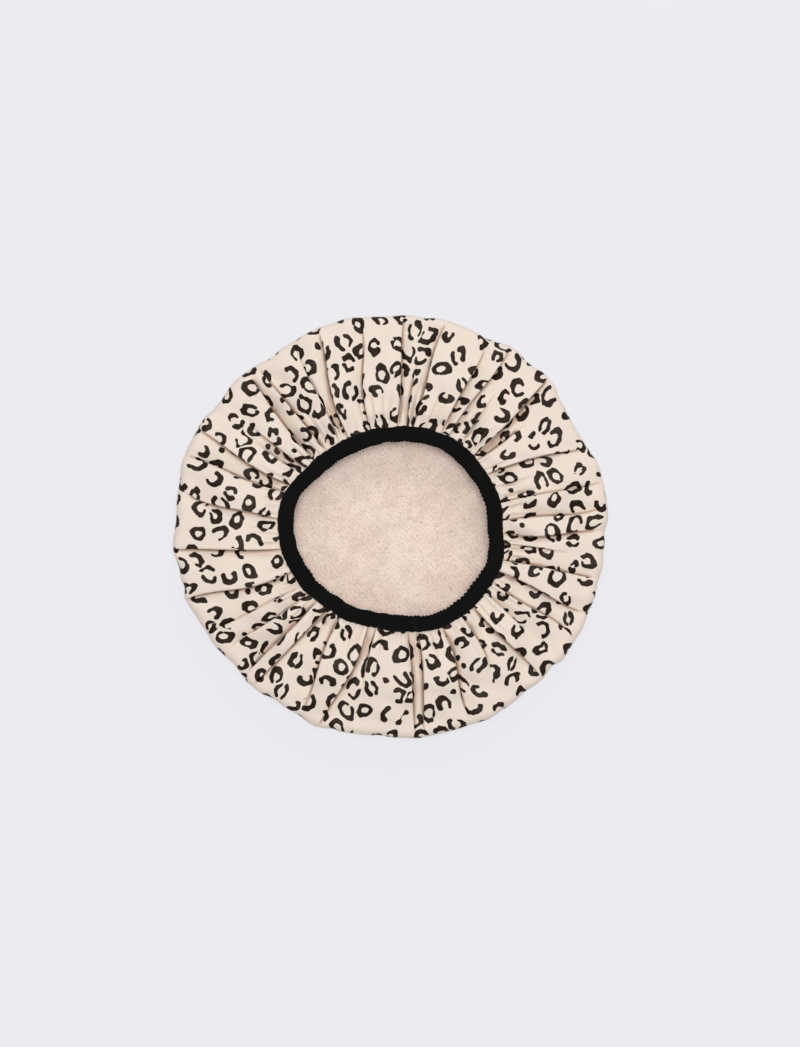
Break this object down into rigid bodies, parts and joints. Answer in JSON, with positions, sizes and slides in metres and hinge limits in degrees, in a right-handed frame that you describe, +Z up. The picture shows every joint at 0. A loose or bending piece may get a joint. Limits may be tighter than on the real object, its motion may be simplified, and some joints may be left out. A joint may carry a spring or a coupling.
{
  "type": "shower cap",
  "caption": "Round shower cap lying crown down: waterproof outer shell and towelling lining pleated into an elastic mouth with a folded tape binding.",
  "frame": {"origin": "on the table under the middle of the crown, which lies face down", "axes": "+Z up, out of the mouth; +Y towards the top of the picture and +X to its right"},
  "size_m": [0.2818, 0.2757, 0.0255],
  "materials": {
    "printed_shell_cloth": "coated cream cloth with a slight sheen and a dark brown leopard print",
    "towelling": "matt pale pink towelling",
    "elastic_braid": "matt black braided elastic",
    "binding_tape": "matt black knitted tape",
    "sewing_thread": "black spun thread"
  },
  "bodies": {
    "crown": {"outer_shell": "printed_shell_cloth", "lining": "towelling"},
    "mouth_band": {"elastic": "elastic_braid", "elastic_tack": "sewing_thread", "binding": "binding_tape", "binding_join_tack": "sewing_thread", "needle_thread": "sewing_thread", "bobbin_thread": "sewing_thread"}
  },
  "joints": [
    {"name": "mouth_lift", "type": "slide", "parent": "crown", "child": "mouth_band", "axis": [0, 0, 1], "range_m": [0, 0.015], "deforming": ["outer_shell", "lining"]}
  ]
}
